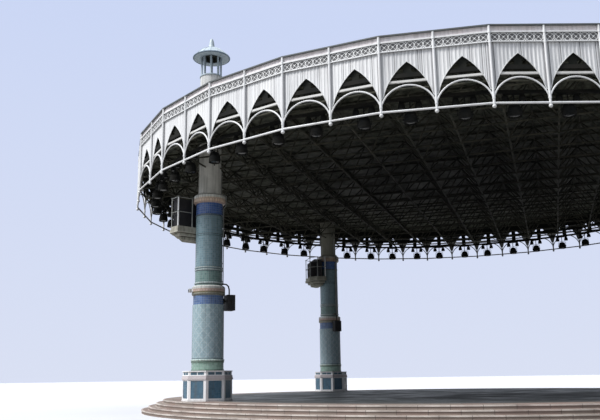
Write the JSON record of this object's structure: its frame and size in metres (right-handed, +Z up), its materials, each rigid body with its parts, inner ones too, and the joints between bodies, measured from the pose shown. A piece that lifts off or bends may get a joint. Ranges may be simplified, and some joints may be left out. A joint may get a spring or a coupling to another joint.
{
  "type": "bandstand",
  "caption": "Open-air bandstand with a round stepped stage, tiled columns carrying loudspeaker balconies and a flat space-frame canopy with an arcaded white fascia",
  "frame": {"origin": "on the ground at the centre of the round stage", "axes": "+Z up; the corners of the canopy lie on the X and Y axes and the columns on the diagonals; the pictured side faces -Y"},
  "size_m": [34.144, 34.144, 18.12],
  "materials": {
    "pink_stone": "worn pinkish paving stone with pale nosings",
    "dark_floor": "dark grey worn stage floor",
    "white_plaster": "painted plaster with blue panels",
    "teal_tile": "small glazed teal tiles",
    "moulded_ceramic": "cream and tan moulded collars",
    "grey_concrete": "weathered grey concrete",
    "white_paint": "white paint with grey weathering",
    "sheet_white": "white ribbed sheet, streaked",
    "parapet_grey": "pinkish grey sheet",
    "dark_steel": "dark painted steel",
    "roof_sheet": "dull grey roof sheet",
    "black_case": "black textured cabinet",
    "lantern_blue": "pale blue-grey paint"
  },
  "bodies": {
    "root": {"stage_drum": "pink_stone", "stage_steps": "pink_stone", "stage_floor": "dark_floor", "column_1_plinth": "white_plaster", "column_1_shaft": "teal_tile", "column_1_collars": "moulded_ceramic", "balcony_1": "grey_concrete", "column_2_plinth": "white_plaster", "column_2_shaft": "teal_tile", "column_2_collars": "moulded_ceramic", "balcony_2": "grey_concrete", "column_3_plinth": "white_plaster", "column_3_shaft": "teal_tile", "column_3_collars": "moulded_ceramic", "balcony_3": "grey_concrete", "column_4_plinth": "white_plaster", "column_4_shaft": "teal_tile", "column_4_collars": "moulded_ceramic", "balcony_4": "grey_concrete", "balcony_railings": "white_paint", "balcony_loudspeakers": "black_case", "column_loudspeakers": "black_case", "floodlights": "white_paint", "lantern_posts": "lantern_blue", "lantern_hoods": "lantern_blue", "fascia_frame_front_left": "white_paint", "fascia_panels_front_left": "sheet_white", "frieze_front_left": "white_paint", "fascia_frame_front_right": "white_paint", "fascia_panels_front_right": "sheet_white", "frieze_front_right": "white_paint", "fascia_frame_back_left": "white_paint", "fascia_panels_back_left": "sheet_white", "frieze_back_left": "white_paint", "fascia_frame_back_right": "white_paint", "fascia_panels_back_right": "sheet_white", "frieze_back_right": "white_paint", "parapet": "parapet_grey", "capping": "dark_steel", "inner_rails": "dark_steel", "bottom_chords": "dark_steel", "top_chords": "dark_steel", "roof_deck": "roof_sheet", "stage_lamps": "black_case"}
  },
  "joints": []
}
